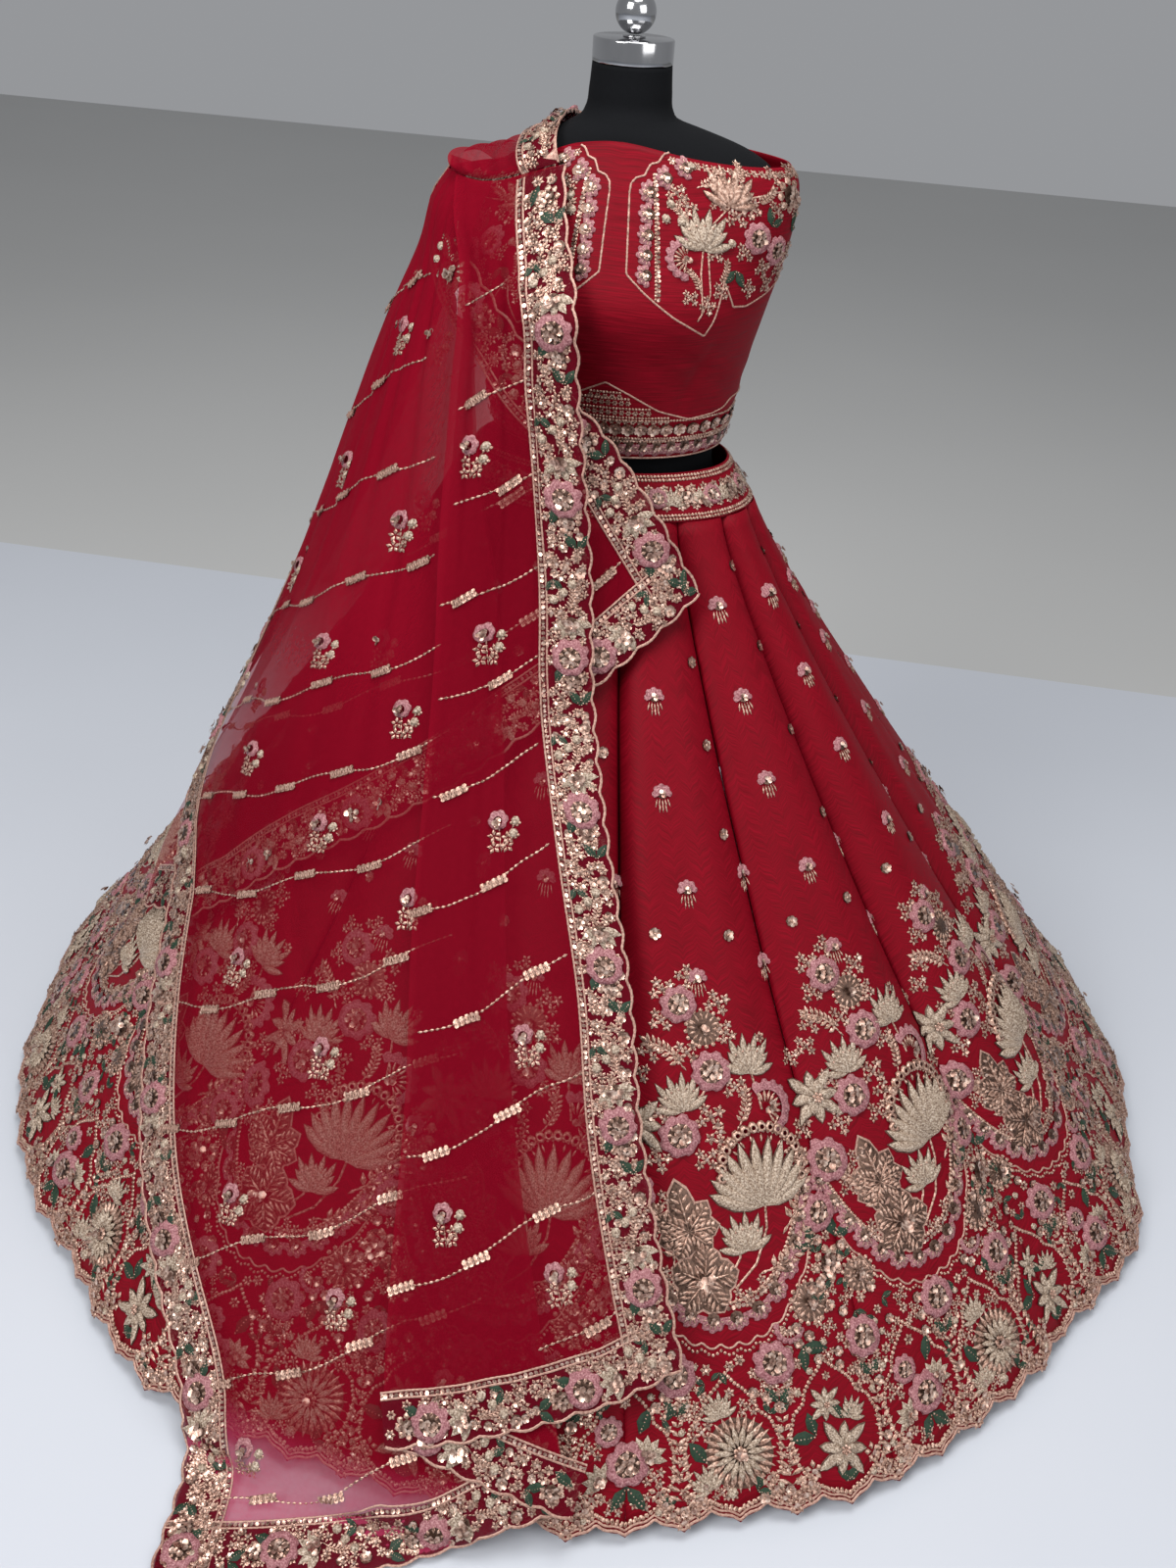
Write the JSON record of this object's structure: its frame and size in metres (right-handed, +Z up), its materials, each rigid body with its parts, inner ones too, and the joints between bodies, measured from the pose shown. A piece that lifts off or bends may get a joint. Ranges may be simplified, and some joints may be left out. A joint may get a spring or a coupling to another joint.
{
  "type": "lehenga choli on dress form",
  "caption": "Flared panelled skirt, short off-shoulder choli and a net dupatta over one shoulder, worn by a limbless dress form on a pole and round base.",
  "frame": {"origin": "centre of the stand base's underside, on the floor", "axes": "+Z up, the front faces -Y, +X to the picture's right"},
  "size_m": [1.6222, 1.7043, 1.3933],
  "materials": {
    "red_silk": "soft silk sheen",
    "red_net": "sheer net",
    "black_form": "matt stretch cover",
    "chrome": "polished",
    "black_stand": "satin"
  },
  "bodies": {
    "root": {"form_torso": "black_form", "form_neck_cap": "chrome", "form_finial_collar": "chrome", "form_finial_ball": "chrome", "stand_pole": "black_stand", "stand_base": "black_stand", "choli_front": "red_silk", "choli_back": "red_silk", "lehenga_waistband": "red_silk", "lehenga_kali_01": "red_silk", "lehenga_kali_02": "red_silk", "lehenga_kali_03": "red_silk", "lehenga_kali_04": "red_silk", "lehenga_kali_05": "red_silk", "lehenga_kali_06": "red_silk", "lehenga_kali_07": "red_silk", "lehenga_kali_08": "red_silk", "lehenga_kali_09": "red_silk", "lehenga_kali_10": "red_silk", "lehenga_kali_11": "red_silk", "lehenga_kali_12": "red_silk", "lehenga_kali_13": "red_silk", "lehenga_kali_14": "red_silk", "lehenga_kali_15": "red_silk", "lehenga_kali_16": "red_silk", "dupatta_under_end": "red_net", "dupatta_left_fall": "red_net", "dupatta_turned_under": "red_net", "dupatta_front_fall": "red_net", "dupatta_shoulder_pleats": "red_net"}
  },
  "joints": []
}
